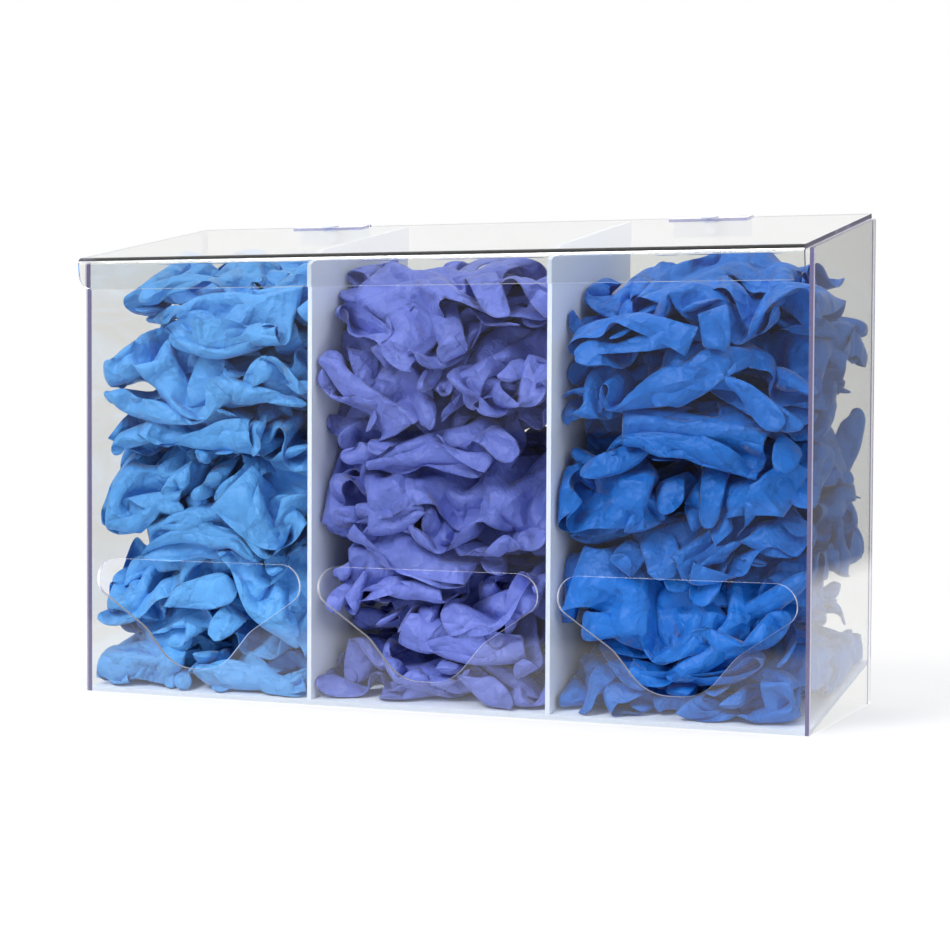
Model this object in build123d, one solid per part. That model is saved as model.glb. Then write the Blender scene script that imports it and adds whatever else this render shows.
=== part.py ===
from build123d import *
import math
import os

import numpy as np

# Wall or counter dispenser for loose disposable gloves: a clear sheet box in three compartments,
# with a hinged lid on top and a scoop-shaped hand opening at the foot of each compartment.
# Millimetres, +Z up, front towards -Y. The origin is under the middle of the overall depth,
# on the surface that the box stands on.

# ---- driving sizes: the box ----
box_width = 508.0           # over both side panels
box_depth = 165.0           # front face of the front panel to the wall plane
front_height = 295.0        # top edge of the front panel
sheet = 3.0                 # clear and white sheet alike
lid_slope = 9.9             # degrees, rising to the back
compartments = 3
back_inset = 5.0            # wall plane to the rear face of the back panel
edge_round = 2.0            # outer corners of the side panels
floor_slope = 9.9           # degrees, rising to the back, so gloves slide forward
divider_lead = 17.0         # depth of the cut at a divider's top front corner
divider_lead_drop = 5.0     # height of that cut

# ---- driving sizes: the hand openings ----
scoop_margin = 5.2          # at its widest, from each end of the compartment
scoop_top = 92.0            # above the counter
scoop_bottom = 19.5
scoop_waist_width = 80.0    # where the shoulders run into the bowl
scoop_waist_height = 46.0
scoop_shoulder_height = 71.4
scoop_foot_width = 36.0
scoop_corner = 14.0         # upper corner radius
scoop_shoulder_round = 11.5
scoop_waist_round = 25.0
scoop_bowl_round = 30.0

# ---- driving sizes: the lid and its hinges ----
lid_inset = 2.3             # lid edge inside the outer face of each side panel
lid_gap = 0.4               # lid over the top edges of the box
lip_reach = 14.5            # front of the lip ahead of the front panel
lip_drop = 21.0             # down the lip from the sharp outer corner of the bend
bend_radius = 5.0           # outside of the bend
lip_corner = 9.0
hinge_width = 55.0
hinge_spacing = 286.0       # between the middles of the two hinges
leaf = 1.0                  # leaf thickness
leaf_reach = 15.0           # leaf length from the pin
barrel_radius = 1.9
pin_radius = 0.95
pin_fit = 0.05              # radial running clearance of the pin
knuckle_share = 1 / 7       # share of the hinge width in each end knuckle
knuckle_gap = 0.3
moving_gap = 0.4            # round the barrels, between what turns and what stands
lid_past_pin = 0.5          # lid edge behind the pin
rivet_setback = 9.5         # rivet ahead of the pin, or below it on the back panel
rivet_head_radius = 6.0
rivet_head = 1.0
rivet_shank_radius = 2.0
rivet_tail_radius = 3.5
rivet_tail = 1.2
rivet_fit = 0.05

# ---- driving sizes: wall fixing ----
screw_spacing = 406.4       # between the two keyholes, 16 inches
screw_height = 250.0        # of the screws, above the counter
screw_slot_radius = 2.6
screw_entry_radius = 5.2
screw_slot_drop = 11.0      # from the seated screw down to the entry hole

# ---- driving sizes: the gloves ----
glove_layers = 8            # in each compartment, with one glove or two in a layer
wall_gap = 1.2              # gloves to the sheets round them
side_gap = 1.6              # between the two gloves of a layer
head_room = 9.0             # highest layer to the lid
seat_gap = 0.3              # under a glove where it rests on another or on the floor
spread_palm = 106.0         # across the palm of a glove that has a layer to itself
narrow_palm = 62.0          # across the palm of one that is creased into half a layer
glove_length = 154.0        # cuff to fingertip, lying loosely creased
finger_length = 60.0
widest_finger = 22.0
finger_splay = 6.0          # degrees between neighbouring fingers
thumb_length = 46.0
spread_thumb_angle = 52.0   # degrees from the hand's length
narrow_thumb_angle = 24.0
puff = 1.04                 # fullest part of a glove to the height of its layer
wave_height = 15.0          # rise and fall of a layer
drape_height = 58.0         # how far a layer hangs down at the front
drape_sway = 0.42           # how much that differs across the compartment
drape_depth = 24.0          # how far back from the front panel it does so

# ---- derived places ----
rear_y = (box_depth + lip_reach) / 2
front_y = rear_y - box_depth
front_inner_y = front_y + sheet
back_outer_y = rear_y - back_inset
back_inner_y = back_outer_y - sheet
side_inner_x = box_width / 2 - sheet
slope = math.radians(lid_slope)
rise = math.tan(slope)
floor_rise = math.tan(math.radians(floor_slope))
floor_vertical = sheet / math.cos(math.radians(floor_slope))
compartment_width = (2 * side_inner_x - (compartments - 1) * sheet) / compartments
pin_y = back_outer_y + barrel_radius
tiny = 1.0                  # how far a cutter runs past what it cuts


def lid_under(y):
    """Height of the lid's underside."""
    return front_height + lid_gap + (y - front_y) * rise


def lid_top(y):
    """Height of the lid's top face."""
    return lid_under(y) + sheet / math.cos(slope)


def box_top(y):
    """Height of the top edges of the side panels, dividers and back panel."""
    return lid_under(y) - lid_gap


def floor_top(y):
    """Height of the sloped floor's upper face."""
    return floor_vertical + (y - front_inner_y) * floor_rise


# the leaf's top face is tangent to the barrel, square to the lid
pin_z = lid_top(pin_y) + (leaf - barrel_radius) / math.cos(slope)


def lid_rivet_seat():
    """Y and Z of a lid rivet's axis at the leaf's top face, which is tangent to the barrel."""
    y = pin_y - rivet_setback * math.cos(slope) - barrel_radius * math.sin(slope)
    z = pin_z - rivet_setback * math.sin(slope) + barrel_radius * math.cos(slope)
    return y, z


def plate_yz(points, x_low, x_high):
    """A sheet standing across X, from its side outline of (y, z) points."""
    face = make_face(Polyline([(x_low, y, z) for y, z in points], close=True))
    return extrude(face, amount=x_high - x_low, dir=(1, 0, 0))


def cylinder_x(radius, x_low, x_high, y, z):
    """A round bar along X."""
    middle = (x_low + x_high) / 2
    return Location((middle, y, z), (0, 90, 0)) * Cylinder(radius, x_high - x_low)


def compartment_middle(index):
    """X of the middle of a compartment, counted from the left."""
    return -side_inner_x + compartment_width / 2 + index * (compartment_width + sheet)


# ---- the box ----
def scoop_outline():
    """One hand opening about X = 0: wide rounded shoulders that run down into a round bowl."""
    half = compartment_width / 2 - scoop_margin
    waist = scoop_waist_width / 2
    foot = scoop_foot_width / 2
    right = [
        (half, scoop_top),
        (half, scoop_shoulder_height),
        (waist, scoop_waist_height),
        (foot, scoop_bottom),
    ]
    left = [(-x, z) for x, z in reversed(right)]
    sharp = Polyline(right + left, close=True)
    face = make_face(sharp)
    turn = math.atan2(half - waist, scoop_shoulder_height - scoop_waist_height)
    straight = scoop_top - scoop_corner - scoop_shoulder_height
    shoulder_round = min(scoop_shoulder_round, 0.98 * straight / math.tan(turn / 2))
    rounds = [scoop_corner, shoulder_round, scoop_waist_round, scoop_bowl_round]
    for (x, z), radius in zip(right, rounds):
        corners = [v for v in face.vertices() if abs(abs(v.X) - x) < 0.01 and abs(v.Y - z) < 0.01]
        face = fillet(corners, radius)
    return face


def front_panel():
    panel = Pos(0, front_y + sheet / 2, front_height / 2) * Box(box_width, sheet, front_height)
    for index in range(compartments):
        place = Plane(
            origin=(compartment_middle(index), front_inner_y + tiny, 0),
            x_dir=(1, 0, 0),
            z_dir=(0, -1, 0),
        )
        panel -= extrude(place * scoop_outline(), amount=sheet + 2 * tiny)
    return panel


def side_panel(side):
    """Side sheet behind the front panel; side is -1 for the left and 1 for the right."""
    outline = [
        (front_inner_y, 0),
        (rear_y, 0),
        (rear_y, box_top(rear_y)),
        (front_inner_y, box_top(front_inner_y)),
    ]
    x_low = side_inner_x if side > 0 else -side_inner_x - sheet
    panel = plate_yz(outline, x_low, x_low + sheet)
    rear_corners = panel.edges().filter_by(Axis.X).group_by(Axis.Y)[-1]
    return fillet(rear_corners, edge_round)


def keyhole_cutter(x):
    """Entry hole, with a narrower slot above it where the screw seats."""
    outline = Pos(x, screw_height - screw_slot_drop) * Circle(screw_entry_radius)
    outline += Pos(x, screw_height - screw_slot_drop / 2) * Rectangle(
        2 * screw_slot_radius, screw_slot_drop
    )
    outline += Pos(x, screw_height) * Circle(screw_slot_radius)
    place = Plane(origin=(0, back_outer_y + tiny, 0), x_dir=(1, 0, 0), z_dir=(0, -1, 0))
    return extrude(place * outline, amount=sheet + 2 * tiny)


def rivet_hole(x, y, z, tilt):
    """Clearance hole for a rivet; tilt turns its axis from +Z towards the back."""
    length = 4 * (sheet + leaf)
    return Location((x, y, z), (-tilt, 0, 0)) * Cylinder(rivet_shank_radius + rivet_fit, length)


def back_panel():
    outline = [
        (back_inner_y, 0),
        (back_outer_y, 0),
        (back_outer_y, box_top(back_inner_y)),
        (back_inner_y, box_top(back_inner_y)),
    ]
    panel = plate_yz(outline, -side_inner_x, side_inner_x)
    for side in (-1, 1):
        panel -= keyhole_cutter(side * screw_spacing / 2)
        panel -= rivet_hole(side * hinge_spacing / 2, back_outer_y, pin_z - rivet_setback, 90)
    return panel


def sloped_floor():
    """White floor between the side panels; its front edge is cut level with the counter."""
    outline = [
        (front_inner_y, 0),
        (back_inner_y, floor_top(back_inner_y) - floor_vertical),
        (back_inner_y, floor_top(back_inner_y)),
        (front_inner_y, floor_top(front_inner_y)),
    ]
    return plate_yz(outline, -side_inner_x, side_inner_x)


def divider(index):
    """White wall to the right of a compartment, standing on the floor."""
    lead_y = front_inner_y + divider_lead
    outline = [
        (front_inner_y, floor_top(front_inner_y)),
        (back_inner_y, floor_top(back_inner_y)),
        (back_inner_y, box_top(back_inner_y)),
        (lead_y, box_top(lead_y)),
        (front_inner_y, box_top(front_inner_y) - divider_lead_drop),
    ]
    x_low = compartment_middle(index) + compartment_width / 2
    return plate_yz(outline, x_low, x_low + sheet)


# ---- the lid ----
def lid():
    """One sheet, bent down at the front into a lip, and notched round the hinge barrels."""
    along = (-math.cos(slope), -math.sin(slope))       # down the lid, towards the front
    down = (math.sin(slope), -math.cos(slope))         # down the lip
    bend_y = front_y - lip_reach + bend_radius
    bend_z = lid_top(bend_y) - bend_radius / math.cos(slope)
    corner = (
        bend_y + bend_radius * (along[0] - down[0]),
        bend_z + bend_radius * (along[1] - down[1]),
    )
    rear = (pin_y + lid_past_pin, lid_top(pin_y + lid_past_pin))
    tip = (corner[0] + lip_drop * down[0], corner[1] + lip_drop * down[1])
    outline = [
        rear,
        corner,
        tip,
        (tip[0] - sheet * along[0], tip[1] - sheet * along[1]),
        (
            corner[0] + sheet * (down[0] - along[0]),
            corner[1] + sheet * (down[1] - along[1]),
        ),
        (rear[0] + sheet * down[0], rear[1] + sheet * down[1]),
    ]
    half = box_width / 2 - lid_inset
    body = plate_yz(outline, -half, half)
    bend_edges = body.edges().filter_by(Axis.X)
    outer = bend_edges.sort_by_distance((0, *corner))[0]
    inner = bend_edges.sort_by_distance((0, *outline[4]))[0]
    body = fillet(outer, bend_radius)
    inner = body.edges().filter_by(Axis.X).sort_by_distance(inner.center())[0]
    body = fillet(inner, bend_radius - sheet)
    tip_middle = (tip[0] - sheet / 2 * along[0], tip[1] - sheet / 2 * along[1])
    ends = [
        body.edges().filter_by(Axis.X, reverse=True).sort_by_distance((x, *tip_middle))[0]
        for x in (-half, half)
    ]
    body = fillet(ends, lip_corner)
    notch_front = pin_y - barrel_radius - moving_gap
    notch_depth = lid_past_pin + barrel_radius + moving_gap + tiny
    for side in (-1, 1):
        x = side * hinge_spacing / 2
        notch = Box(hinge_width + 2 * moving_gap, notch_depth, 6 * sheet)
        body -= Pos(x, notch_front + notch_depth / 2, lid_top(pin_y)) * notch
        body -= rivet_hole(x, *lid_rivet_seat(), -lid_slope)
    return body


# ---- the hinges ----
def knuckle(x_low, x_high):
    return cylinder_x(barrel_radius, x_low, x_high, pin_y, pin_z)


def end_knuckle_width():
    return hinge_width * knuckle_share


def lid_leaf(side):
    """Leaf on the lid's top face, with the long middle knuckle."""
    x = side * hinge_spacing / 2
    half = hinge_width / 2
    middle_half = half - end_knuckle_width() - knuckle_gap
    inset = barrel_radius + moving_gap
    plate_length = leaf_reach - inset
    height = barrel_radius - leaf / 2
    plate = Pos(0, -inset - plate_length / 2, height) * Box(hinge_width, plate_length, leaf)
    tongue = Pos(0, -inset / 2, height) * Box(2 * middle_half, inset, leaf)
    turn = Location((x, pin_y, pin_z), (lid_slope, 0, 0))
    piece = turn * (plate + tongue)
    piece += knuckle(x - middle_half, x + middle_half)
    piece -= cylinder_x(pin_radius + pin_fit, x - half, x + half, pin_y, pin_z)
    piece -= rivet_hole(x, *lid_rivet_seat(), -lid_slope)
    return piece


def back_leaf(side):
    """Leaf on the rear face of the back panel, with the two end knuckles."""
    x = side * hinge_spacing / 2
    half = hinge_width / 2
    end = end_knuckle_width()
    inset = barrel_radius + moving_gap
    y = back_outer_y + leaf / 2
    plate_length = leaf_reach - inset
    piece = Pos(x, y, pin_z - inset - plate_length / 2) * Box(hinge_width, leaf, plate_length)
    for hand in (-1, 1):
        ear_x = x + hand * (half - end / 2)
        piece += Pos(ear_x, y, pin_z - inset / 2) * Box(end, leaf, inset)
        piece += knuckle(ear_x - end / 2, ear_x + end / 2)
    piece -= cylinder_x(pin_radius + pin_fit, x - half - tiny, x + half + tiny, pin_y, pin_z)
    piece -= rivet_hole(x, back_outer_y, pin_z - rivet_setback, 90)
    return piece


def hinge_pin(side):
    x = side * hinge_spacing / 2
    return cylinder_x(pin_radius, x - hinge_width / 2, x + hinge_width / 2, pin_y, pin_z)


def rivet(clamped):
    """Flat-headed rivet along Z; Z = 0 is the outer face of the leaf, the shank runs down."""
    head = Pos(0, 0, rivet_head / 2) * Cylinder(rivet_head_radius, rivet_head)
    shank = Pos(0, 0, -clamped / 2) * Cylinder(rivet_shank_radius, clamped)
    tail = Pos(0, 0, -clamped - rivet_tail / 2) * Cylinder(rivet_tail_radius, rivet_tail)
    return head + shank + tail


def lid_rivet(side):
    place = Location((side * hinge_spacing / 2, *lid_rivet_seat()), (lid_slope, 0, 0))
    return place * rivet(leaf + sheet)


def back_rivet(side):
    x = side * hinge_spacing / 2
    place = Location((x, back_outer_y + leaf, pin_z - rivet_setback), (-90, 0, 0))
    return place * rivet(leaf + sheet)


# ---- the gloves ----
# A compartment is divided into wavy layers. Each glove lies in its own layer, or in half of one,
# puffed up by its creases, and bends with it, so that no two gloves run into each other.
palm_columns = 8            # two to a finger
palm_rows = 3
finger_rows = 2
thumb_row = 1               # the thumb grows from the palm's side between this row and the next
palm_length = glove_length - finger_length

# the gloves of each heap, from the lowest layer up: the place in the layer, which way the
# fingers point in degrees from the front, clockwise as seen from above, and the thumb's side
heaps = {
    "left": [
        [("left", 186, -1), ("right", 6, 1)],
        [("whole", -82, 1)],
        [("front", 94, -1), ("rear", -86, 1)],
        [("whole", 10, -1)],
        [("left", 12, 1), ("right", 190, 1)],
        [("whole", 98, -1)],
        [("front", -92, -1), ("rear", 88, -1)],
        [("whole", 172, 1)],
    ],
    "middle": [
        [("front", -84, 1), ("rear", 96, 1)],
        [("whole", 4, -1)],
        [("left", 172, 1), ("right", -8, -1)],
        [("whole", 92, 1)],
        [("front", 86, 1), ("rear", -94, -1)],
        [("whole", -6, 1)],
        [("left", -4, -1), ("right", 8, 1)],
        [("whole", -88, -1)],
    ],
    "right": [
        [("left", -6, 1), ("right", 184, -1)],
        [("whole", 188, 1)],
        [("front", -96, 1), ("rear", 84, 1)],
        [("whole", -10, -1)],
        [("left", 176, -1), ("right", -4, 1)],
        [("whole", -92, 1)],
        [("front", 88, 1), ("rear", -92, -1)],
        [("whole", 14, 1)],
    ],
}


def soft_limit(value, limit):
    """Leaves the inner part as it is and presses the rest up against the limit."""
    start = 0.72 * limit
    if abs(value) <= start:
        return value
    room = limit - start
    over = (abs(value) - start) / room
    return math.copysign(start + room * math.tanh(over), value)


def layer_edge(level, heap, x, y):
    """Height of the surface under layer number level; x is from the compartment's middle."""
    share = level / glove_layers
    low = floor_top(y)
    high = lid_under(y) - head_room
    loose = math.sin(math.pi * min(share, 0.90)) ** 0.5
    phase = 0.45 * level + 2.1 * heap
    wave = math.sin(2 * math.pi * x / 138 + phase) + 0.6 * math.sin(2 * math.pi * y / 120 + 1.7 * phase)
    sway = math.sin(2 * math.pi * x / 118 - 0.55 * level + 1.3 * heap)
    hang = drape_height * min(1, 1.7 * share) * (1 - 0.55 * max(0, share - 0.6) / 0.4)
    front = math.exp(-(y - front_inner_y) / drape_depth)
    lift = 0.6 * wave_height * wave * loose - hang * (0.85 + drape_sway * sway) * front
    return low + (high - low) * share + lift


def glove_space(place):
    """Middle and half size, across and deep, of a glove's place in a layer."""
    half_x = compartment_width / 2 - wall_gap
    half_y = (back_inner_y - front_inner_y) / 2 - wall_gap
    middle_y = (back_inner_y + front_inner_y) / 2
    half_space_x = (half_x - side_gap / 2) / 2
    half_space_y = (half_y - side_gap / 2) / 2
    shift_x = half_space_x + side_gap / 2
    shift_y = half_space_y + side_gap / 2
    return {
        "whole": (0, middle_y, half_x, half_y),
        "left": (-shift_x, middle_y, half_space_x, half_y),
        "right": (shift_x, middle_y, half_space_x, half_y),
        "front": (0, middle_y - shift_y, half_x, half_space_y),
        "rear": (0, middle_y + shift_y, half_x, half_space_y),
    }[place]


def glove_points(heap, level, place, heading, thumb_side):
    """Vertices of one glove's upper and lower skins, as {key: (upper, lower)}."""
    middle_x, middle_y, half_x, half_y = glove_space(place)
    turn = math.radians(heading)
    palm_width, thumb_angle = spread_palm, spread_thumb_angle
    if place != "whole":
        palm_width, thumb_angle = narrow_palm, narrow_thumb_angle
    aim = math.radians(thumb_angle)
    lean = 0.3 * thumb_length * math.sin(aim)

    def lay(across, along, fullness):
        """across and along are in the hand's own plane, from the middle of its length."""
        across = (across - lean) * thumb_side
        x = across * math.cos(turn) - along * math.sin(turn)
        y = -across * math.sin(turn) - along * math.cos(turn)
        x = soft_limit(x, half_x) + middle_x
        y = soft_limit(y, half_y) + middle_y
        low = layer_edge(level, heap, x, y)
        high = layer_edge(level + 1, heap, x, y)
        mid = (low + high) / 2
        half = (high - low) / 2 * puff * fullness
        if level == 0:
            mid = low + half + (mid - low - half) * 0.25
        x += compartment_middle(heap)
        return np.array([x, y, mid + half]), np.array([x, y, mid - half])

    points = {}
    start = -glove_length / 2
    for row in range(palm_rows + 1):
        for column in range(palm_columns + 1):
            across = (column / palm_columns - 0.5) * palm_width
            across *= 1 + 0.06 * (palm_rows - row) / palm_rows
            along = start + palm_length * row / palm_rows
            if row == palm_rows and column % 2:
                along += 6
            crease = 0.76 + 0.24 * math.sin(1.9 * column + 2.3 * row + level + heap)
            outline = row == 0 or column in (0, palm_columns) or (row == palm_rows and column % 2 == 0)
            points["palm", row, column] = lay(across, along, 0 if outline else crease)
    finger_width = palm_width / 4
    fingers = []
    for finger in range(4):
        root = ((finger - 1.5) * finger_width, start + palm_length)
        splay = math.radians((finger - 1.5) * finger_splay)
        fingers.append((("finger", finger), root, splay, finger_length * (0.86, 1.0, 0.96, 0.78)[finger]))
    root = (palm_width / 2, start + palm_length * (thumb_row + 0.5) / palm_rows)
    fingers.append((("thumb",), root, aim, thumb_length))
    for name, root, splay, length in fingers:
        for row in range(1, finger_rows + 1):
            tip = row == finger_rows
            width = min(finger_width, widest_finger) * (0.76 if tip else 0.96)
            for column in range(3):
                side = (column - 1) * width / 2
                reach = length * row / finger_rows - (5 if tip and column != 1 else 0)
                across = root[0] + reach * math.sin(splay) + side * math.cos(splay)
                along = root[1] + reach * math.cos(splay) - side * math.sin(splay)
                fullness = 0.8 if column == 1 and not tip else 0
                points[(*name, row, column)] = lay(across, along, fullness)
    return points


def glove_panels():
    """Triangles of the hand's plan, as keys, each with a corner inside the outline."""
    panels = []

    def quad(a, b, c, d, across):
        """Cut from a to c, or from b to d."""
        panels.extend([(a, b, d), (b, c, d)] if across else [(a, b, c), (a, c, d)])

    for row in range(palm_rows):
        for column in range(palm_columns):
            corners = [("palm", row + i, column + j) for i, j in ((0, 0), (0, 1), (1, 1), (1, 0))]
            if row == thumb_row and column == palm_columns - 1:
                panels.append((corners[0], corners[1], corners[3]))
            else:
                quad(*corners, across=row > 0 and column % 2 == 0 or column == palm_columns - 1)
    for finger in range(4):
        for row in range(finger_rows):
            for column in range(2):
                lower = [("palm", palm_rows, 2 * finger + column + i) for i in (0, 1)]
                if row:
                    lower = [("finger", finger, row, column + i) for i in (0, 1)]
                upper = [("finger", finger, row + 1, column + i) for i in (1, 0)]
                quad(*lower, *upper, across=column == 0)
    low, high = (("palm", thumb_row + i, palm_columns) for i in (0, 1))
    inner = ("palm", thumb_row + 1, palm_columns - 1)
    left, middle, right = (("thumb", 1, i) for i in range(3))
    panels += [(low, middle, inner), (middle, high, inner), (low, right, middle), (high, middle, left)]
    for row in range(1, finger_rows):
        for column in range(2):
            lower = [("thumb", row, column + i) for i in (0, 1)]
            upper = [("thumb", row + 1, column + i) for i in (1, 0)]
            quad(*lower, *upper, across=column == 0)
    return panels


def skin_facets(points, panels, skin):
    """Triangles of the upper skin (0) or the lower one (1), as an array of corners."""
    return np.array([[points[key][skin] for key in panel] for panel in panels])


def heights_on(facets, spots):
    """Height of each facet straight above or below each spot, or nan beside the facet."""
    a, b, c = (facets[:, i][:, None] for i in range(3))
    ab, ac, ap = b - a, c - a, spots[None] - a
    area = ab[..., 0] * ac[..., 1] - ab[..., 1] * ac[..., 0]
    with np.errstate(divide="ignore", invalid="ignore"):
        v = (ap[..., 0] * ac[..., 1] - ap[..., 1] * ac[..., 0]) / area
        w = (ab[..., 0] * ap[..., 1] - ab[..., 1] * ap[..., 0]) / area
        inside = (v >= 0) & (w >= 0) & (v + w <= 1)
        height = a[..., 2] + v * ab[..., 2] + w * ac[..., 2]
    return np.where(inside, height, np.nan)


def edge_gaps(above, below):
    """Height between the facets' edges of one skin and another's where they cross in plan."""
    p = above.reshape(-1, 3)[:, None]
    r = np.roll(above, -1, axis=1).reshape(-1, 3)[:, None] - p
    q = below.reshape(-1, 3)[None]
    s = np.roll(below, -1, axis=1).reshape(-1, 3)[None] - q
    cross = r[..., 0] * s[..., 1] - r[..., 1] * s[..., 0]
    with np.errstate(divide="ignore", invalid="ignore"):
        t = ((q - p)[..., 0] * s[..., 1] - (q - p)[..., 1] * s[..., 0]) / cross
        u = ((q - p)[..., 0] * r[..., 1] - (q - p)[..., 1] * r[..., 0]) / cross
        gap = (p + t[..., None] * r)[..., 2] - (q + u[..., None] * s)[..., 2]
    return np.where((t >= 0) & (t <= 1) & (u >= 0) & (u <= 1), gap, np.nan)


def least_gap(above, below):
    """Least height between two skins where they overlap in plan."""
    corners_above = above.reshape(-1, 3)
    corners_below = below.reshape(-1, 3)
    gaps = [
        corners_above[None, :, 2] - heights_on(below, corners_above),
        heights_on(above, corners_below) - corners_below[None, :, 2],
        edge_gaps(above, below),
    ]
    return min(np.nanmin(gap, initial=np.inf) for gap in gaps)


def glove_solid(points, panels, thumb_side):
    """Closed solid of one glove, in flat facets that all face outwards."""
    facets = list(skin_facets(points, panels, 0)) + list(skin_facets(points, panels, 1)[:, ::-1])
    if thumb_side > 0:
        facets = [corners[::-1] for corners in facets]
    faces = [
        Face(Wire.make_polygon([tuple(map(float, corner)) for corner in corners], close=True))
        for corners in facets
    ]
    return Solid(Shell(faces))


def glove_heap(heap, layers):
    """The gloves of one compartment, each let down until it rests on what is under it."""
    panels = glove_panels()
    upper_skins = []
    gloves = []
    for level, layer in enumerate(layers):
        for place, heading, thumb_side in layer:
            points = glove_points(heap, level, place, heading, thumb_side)
            lower_skin = skin_facets(points, panels, 1)
            gaps = [least_gap(lower_skin, skin) for skin in upper_skins]
            gaps.append(min(z - floor_top(y) for x, y, z in lower_skin.reshape(-1, 3)))
            drop = np.array([0, 0, min(gaps) - seat_gap])
            points = {key: (upper - drop, lower - drop) for key, (upper, lower) in points.items()}
            upper_skins.append(skin_facets(points, panels, 0))
            gloves.append(glove_solid(points, panels, thumb_side))
    return gloves


# ---- all pieces, by name ----
pieces = {
    "front_panel": front_panel(),
    "left_side_panel": side_panel(-1),
    "right_side_panel": side_panel(1),
    "back_panel": back_panel(),
    "sloped_floor": sloped_floor(),
    "left_divider": divider(0),
    "right_divider": divider(1),
    "lid": lid(),
}
for name, side in (("left", -1), ("right", 1)):
    pieces["lid_leaf_" + name] = lid_leaf(side)
    pieces["back_leaf_" + name] = back_leaf(side)
    pieces["hinge_pin_" + name] = hinge_pin(side)
    pieces["lid_rivet_" + name] = lid_rivet(side)
    pieces["back_rivet_" + name] = back_rivet(side)
for heap, (name, layers) in enumerate(heaps.items()):
    for number, piece in enumerate(glove_heap(heap, layers), start=1):
        pieces[f"{name}_glove_{number}"] = piece

os.makedirs("parts", exist_ok=True)
for name, piece in pieces.items():
    export_step(piece, f"parts/{name}.step")
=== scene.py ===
import math
import time

import bpy
import numpy as np
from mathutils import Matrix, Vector


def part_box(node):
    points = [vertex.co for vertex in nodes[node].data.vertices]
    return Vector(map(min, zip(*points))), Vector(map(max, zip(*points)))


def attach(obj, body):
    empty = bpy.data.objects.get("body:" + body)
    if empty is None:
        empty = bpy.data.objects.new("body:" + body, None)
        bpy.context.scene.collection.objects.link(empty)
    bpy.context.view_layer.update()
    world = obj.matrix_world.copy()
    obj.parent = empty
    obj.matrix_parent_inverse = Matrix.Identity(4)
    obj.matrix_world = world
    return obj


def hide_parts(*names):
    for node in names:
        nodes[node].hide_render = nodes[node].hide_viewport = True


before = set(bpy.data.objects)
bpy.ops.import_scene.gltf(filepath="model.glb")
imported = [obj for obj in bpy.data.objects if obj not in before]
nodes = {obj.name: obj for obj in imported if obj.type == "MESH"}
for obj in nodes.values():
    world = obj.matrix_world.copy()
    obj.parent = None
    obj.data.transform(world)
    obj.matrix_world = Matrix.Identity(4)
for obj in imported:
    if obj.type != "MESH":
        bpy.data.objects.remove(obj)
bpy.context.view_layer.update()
startTime = time.time()


def report(stage):
    print(f"{time.time() - startTime:6.1f} s  {stage}")


cameraLook = {
    "place": (0.5978, -1.4309, 0.2101),
    "tilt": -2.18,        # degrees above the horizon
    "roll": -0.275,
    "heading": 22.57,     # degrees, turned from the front towards the left
    "lens": 87.2,
}


def makeCamera():
    data = bpy.data.cameras.new("camera")
    data.lens = cameraLook["lens"]
    data.sensor_width = 36
    camera = bpy.data.objects.new("camera", data)
    camera.location = cameraLook["place"]
    camera.rotation_euler = (
        math.radians(90 + cameraLook["tilt"]),
        math.radians(cameraLook["roll"]),
        math.radians(cameraLook["heading"]),
    )
    bpy.context.collection.objects.link(camera)
    bpy.context.scene.camera = camera


def makeMesh(name, points, faces, material=None, smooth=True):
    mesh = bpy.data.meshes.new(name)
    mesh.from_pydata([tuple(p) for p in np.asarray(points, dtype=float)], [], faces)
    mesh.polygons.foreach_set("use_smooth", [smooth] * len(mesh.polygons))
    obj = bpy.data.objects.new(name, mesh)
    bpy.context.collection.objects.link(obj)
    if material:
        mesh.materials.append(material)
    return obj


def newMaterial(name):
    material = bpy.data.materials.new(name)
    material.use_nodes = True
    tree = material.node_tree
    tree.nodes.clear()
    return material, tree


def addNode(tree, kind, x=0, y=0, **values):
    node = tree.nodes.new(kind)
    node.location = (x, y)
    for key, value in values.items():
        setattr(node, key, value)
    return node


stageLook = {
    "floorColor": (0.9, 0.9, 0.91),
    "nearWhite": 0.55,    # share of plain white in the floor right under the box
    "shadowReach": (0.25, 1.1),      # metres out to where the floor is all white
    "whiteFloor": (-0.53, -0.44),    # metres, where the floor that the sheets mirror turns white
    "whiteSides": (0.5, 0.58),
    "backLight": 1.5,     # how far down the mirrored white reaches front right and rear left
    "darkFront": 0.20,    # what glossy sheets mirror from behind the camera
    "size": 9.0,
    "worldStrength": 0.45,
}

lampLook = {
    "key": {"place": (-0.9, -1.7, 1.9), "aim": (0, 0, 0.15), "size": 1.3, "power": 50},
    "fill": {"place": (1.9, -1.2, 1.1), "aim": (0, 0, 0.15), "size": 1.4, "power": 12},
    "top": {"place": (0.1, 0.2, 2.2), "aim": (0, 0, 0.1), "size": 1.6, "power": 24},
}


def newGroup(name, inputs, output):
    # a shader node group: its tree, its inner input node and its output socket
    tree = bpy.data.node_groups.new(name, "ShaderNodeTree")
    for title, kind in inputs:
        tree.interface.new_socket(title, in_out="INPUT", socket_type=kind)
    tree.interface.new_socket(output, in_out="OUTPUT", socket_type="NodeSocketFloat")
    given = addNode(tree, "NodeGroupInput", -1000)
    result = addNode(tree, "NodeGroupOutput", 500)
    return tree, given, result.inputs[output]


def useGroup(tree, name, x=0, y=0, **values):
    node = addNode(tree, "ShaderNodeGroup", x, y, node_tree=bpy.data.node_groups[name])
    for title, value in values.items():
        node.inputs[title].default_value = value
    return node


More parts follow.
